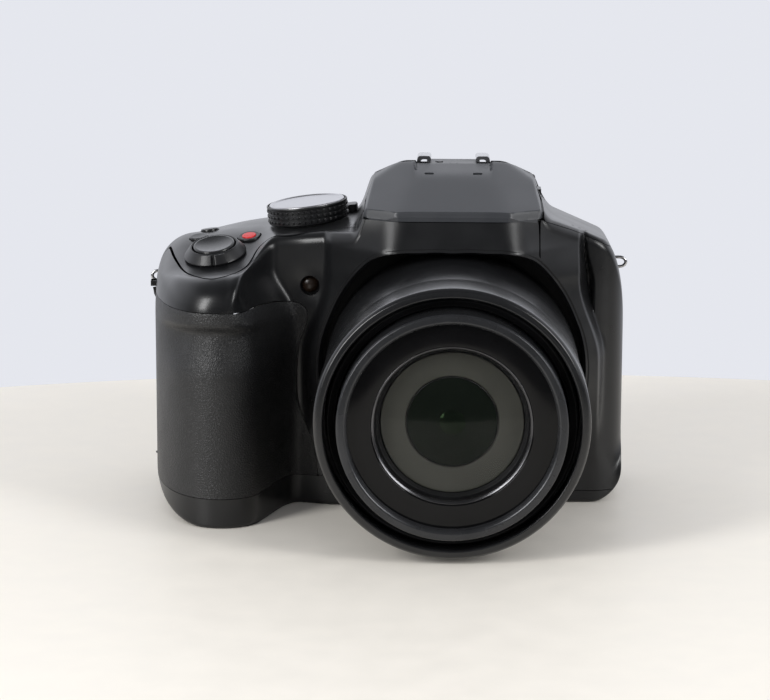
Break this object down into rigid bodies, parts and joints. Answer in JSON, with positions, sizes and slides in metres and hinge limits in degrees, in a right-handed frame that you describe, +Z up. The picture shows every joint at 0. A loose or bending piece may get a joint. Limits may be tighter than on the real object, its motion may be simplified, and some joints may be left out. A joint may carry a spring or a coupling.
{
  "type": "bridge camera",
  "caption": "Bridge camera with a deep rubber grip, a retracting geared zoom lens, a pop-up flash, an accessory shoe, an eye-level viewfinder and sprung controls",
  "frame": {"origin": "Centre of the tripod socket's mouth, in the plane of the base", "axes": "+Z up, -Y out of the lens, +X to the right of a viewer who faces the lens, along the body's width"},
  "size_m": [0.1356, 0.1192, 0.0951],
  "materials": {
    "body_plastic": "satin black",
    "grip_rubber": "fine leather grain",
    "lid_plastic": "matte dark grey",
    "dark_plastic": "matte black",
    "barrel_metal": "satin black",
    "gloss_black": "gloss black",
    "silver_metal": "satin silver",
    "shoe_chrome": "bright",
    "frame_steel": "plain",
    "circuit_board": "green board",
    "gear_plastic": "natural",
    "lens_glass": "coated",
    "lamp_amber": "dark brown lens"
  },
  "bodies": {
    "camera": {"front_cover": "body_plastic", "top_cover": "body_plastic", "rear_cover": "body_plastic", "base_cover": "body_plastic", "grip_rubber": "grip_rubber", "thumb_rest": "grip_rubber", "chassis": "frame_steel", "main_board": "circuit_board", "image_sensor": "frame_steel", "lens_base": "dark_plastic", "fixed_barrel": "barrel_metal", "zoom_motor": "silver_metal", "rear_lens_group": "lens_glass", "focus_lamp": "lamp_amber", "flash_pin": "silver_metal", "shoe_rails": "shoe_chrome", "shoe_contacts": "dark_plastic", "lcd_module": "frame_steel", "lcd_window": "gloss_black", "viewfinder": "dark_plastic", "eyepiece_lens": "lens_glass", "eyecup": "grip_rubber", "socket_block": "frame_steel", "battery": "dark_plastic", "tripod_bush": "silver_metal", "strap_lugs": "silver_metal", "case_screws": "frame_steel"},
    "cam": {"cam_tube": "dark_plastic"},
    "pinion": {"zoom_pinion": "gear_plastic"},
    "first_stage": {"first_barrel": "barrel_metal"},
    "second_stage": {"second_barrel": "barrel_metal", "front_cell": "dark_plastic", "name_ring": "gloss_black", "front_element": "lens_glass", "second_element": "lens_glass"},
    "flash": {"flash_lid": "lid_plastic", "flash_head": "dark_plastic", "flash_window": "lens_glass"},
    "flash_release": {"flash_switch": "lid_plastic"},
    "dial": {"mode_dial": "dark_plastic", "mode_dial_cap": "silver_metal"},
    "lever": {"zoom_lever": "body_plastic"},
    "shutter": {"shutter_button": "body_plastic"},
    "movie_button_body": {"movie_button": "body_plastic"},
    "function_button_1_body": {"function_button_1": "body_plastic"},
    "function_button_2_body": {"function_button_2": "body_plastic"},
    "power": {"power_switch": "dark_plastic"},
    "rear_wheel": {"rear_dial": "dark_plastic"},
    "finder_button_body": {"finder_button": "body_plastic"},
    "lock_button_body": {"lock_button": "body_plastic"},
    "playback_button_body": {"playback_button": "body_plastic"},
    "display_button_body": {"display_button": "body_plastic"},
    "menu_button_body": {"menu_button": "body_plastic"},
    "gimbal": {"pad_gimbal": "dark_plastic"},
    "pad": {"cursor_pad": "body_plastic"},
    "set_key": {"set_button": "body_plastic"},
    "dioptre": {"dioptre_dial": "dark_plastic"},
    "side_door": {"socket_door": "body_plastic"},
    "bottom_door": {"battery_door": "body_plastic"},
    "latch": {"battery_latch": "frame_steel"}
  },
  "joints": [
    {"name": "cam_turn", "type": "hinge", "parent": "camera", "child": "cam", "pos_m": [0, -0.04, 0.0375], "axis": [0, -1, 0], "range_deg": [0, 150]},
    {"name": "pinion_turn", "type": "hinge", "parent": "camera", "child": "pinion", "pos_m": [-0.0239, -0.04, 0.0513], "axis": [0, -1, 0], "range_deg": [0, 1301]},
    {"name": "first_barrel_slide", "type": "slide", "parent": "camera", "child": "first_stage", "axis": [0, -1, 0], "range_m": [0, 0.03201]},
    {"name": "second_barrel_slide", "type": "slide", "parent": "first_stage", "child": "second_stage", "axis": [0, -1, 0], "range_m": [0, 0.03201]},
    {"name": "flash_lift", "type": "hinge", "parent": "camera", "child": "flash", "pos_m": [0, -0.0022, 0.0907], "axis": [-1, 0, 0], "range_deg": [0, 60]},
    {"name": "flash_switch_slide", "type": "slide", "parent": "camera", "child": "flash_release", "axis": [0, 1, 0], "range_m": [0, 0.002], "stiffness_N_per_m": 300},
    {"name": "mode_dial_turn", "type": "hinge", "parent": "camera", "child": "dial", "pos_m": [-0.0403, 0.001, 0.0765], "axis": [-0.1191, 0, 0.9929], "continuous": true},
    {"name": "zoom_lever_turn", "type": "hinge", "parent": "camera", "child": "lever", "pos_m": [-0.0654, -0.016, 0.06999], "axis": [-0.1156, -0.2425, 0.9632], "range_deg": [-18, 18], "stiffness_Nm_per_rad": 0.05},
    {"name": "shutter_press", "type": "slide", "parent": "camera", "child": "shutter", "axis": [0.1156, 0.2425, -0.9632], "range_m": [0, 0.0012], "stiffness_N_per_m": 600},
    {"name": "movie_press", "type": "slide", "parent": "camera", "child": "movie_button_body", "axis": [0.1161, 0.2234, -0.9678], "range_m": [0, 0.0006], "stiffness_N_per_m": 600},
    {"name": "function_1_press", "type": "slide", "parent": "camera", "child": "function_button_1_body", "axis": [0.1191, 0, -0.9929], "range_m": [0, 0.0006], "stiffness_N_per_m": 600},
    {"name": "function_2_press", "type": "slide", "parent": "camera", "child": "function_button_2_body", "axis": [0.158, 0.1443, -0.9768], "range_m": [0, 0.0006], "stiffness_N_per_m": 600},
    {"name": "power_slide", "type": "slide", "parent": "camera", "child": "power", "axis": [0, 1, 0], "range_m": [0, 0.003]},
    {"name": "rear_dial_turn", "type": "hinge", "parent": "camera", "child": "rear_wheel", "pos_m": [-0.054, 0.0205, 0.06175], "axis": [0, 0, 1], "continuous": true},
    {"name": "finder_press", "type": "slide", "parent": "camera", "child": "finder_button_body", "axis": [0, -1, 0], "range_m": [0, 0.0006], "stiffness_N_per_m": 600},
    {"name": "lock_press", "type": "slide", "parent": "camera", "child": "lock_button_body", "axis": [0, -1, 0], "range_m": [0, 0.0006], "stiffness_N_per_m": 600},
    {"name": "playback_press", "type": "slide", "parent": "camera", "child": "playback_button_body", "axis": [0, -1, 0], "range_m": [0, 0.0006], "stiffness_N_per_m": 600},
    {"name": "display_press", "type": "slide", "parent": "camera", "child": "display_button_body", "axis": [0, -1, 0], "range_m": [0, 0.0006], "stiffness_N_per_m": 600},
    {"name": "menu_press", "type": "slide", "parent": "camera", "child": "menu_button_body", "axis": [0, -1, 0], "range_m": [0, 0.0006], "stiffness_N_per_m": 600},
    {"name": "pad_rock_across", "type": "hinge", "parent": "camera", "child": "gimbal", "pos_m": [-0.057, 0.0216, 0.036], "axis": [0, 0, 1], "range_deg": [-2.5, 2.5], "stiffness_Nm_per_rad": 0.3},
    {"name": "pad_rock_up", "type": "hinge", "parent": "gimbal", "child": "pad", "pos_m": [-0.057, 0.0216, 0.036], "axis": [1, 0, 0], "range_deg": [-2.5, 2.5], "stiffness_Nm_per_rad": 0.3},
    {"name": "set_press", "type": "slide", "parent": "camera", "child": "set_key", "axis": [0, -1, 0], "range_m": [0, 0.0006], "stiffness_N_per_m": 600},
    {"name": "dioptre_turn", "type": "hinge", "parent": "camera", "child": "dioptre", "pos_m": [0.0228, 0.018, 0.084], "axis": [1, 0, 0], "range_deg": [-120, 120]},
    {"name": "socket_door_swing", "type": "hinge", "parent": "camera", "child": "side_door", "pos_m": [0.0469, 0.0143, 0.035], "axis": [0, 0, 1], "range_deg": [0, 100]},
    {"name": "battery_door_swing", "type": "hinge", "parent": "camera", "child": "bottom_door", "pos_m": [-0.0557, -0.012, 0.001], "axis": [0, -1, 0], "range_deg": [0, 90]},
    {"name": "battery_latch_slide", "type": "slide", "parent": "bottom_door", "child": "latch", "axis": [1, 0, 0], "range_m": [0, 0.002]}
  ],
  "couplings": [
    {"joint": "pinion_turn", "follows": "cam_turn", "ratio": 8.6667},
    {"joint": "first_barrel_slide", "follows": "cam_turn", "m_per_rad": 0.012223},
    {"joint": "second_barrel_slide", "follows": "cam_turn", "m_per_rad": 0.012223}
  ]
}
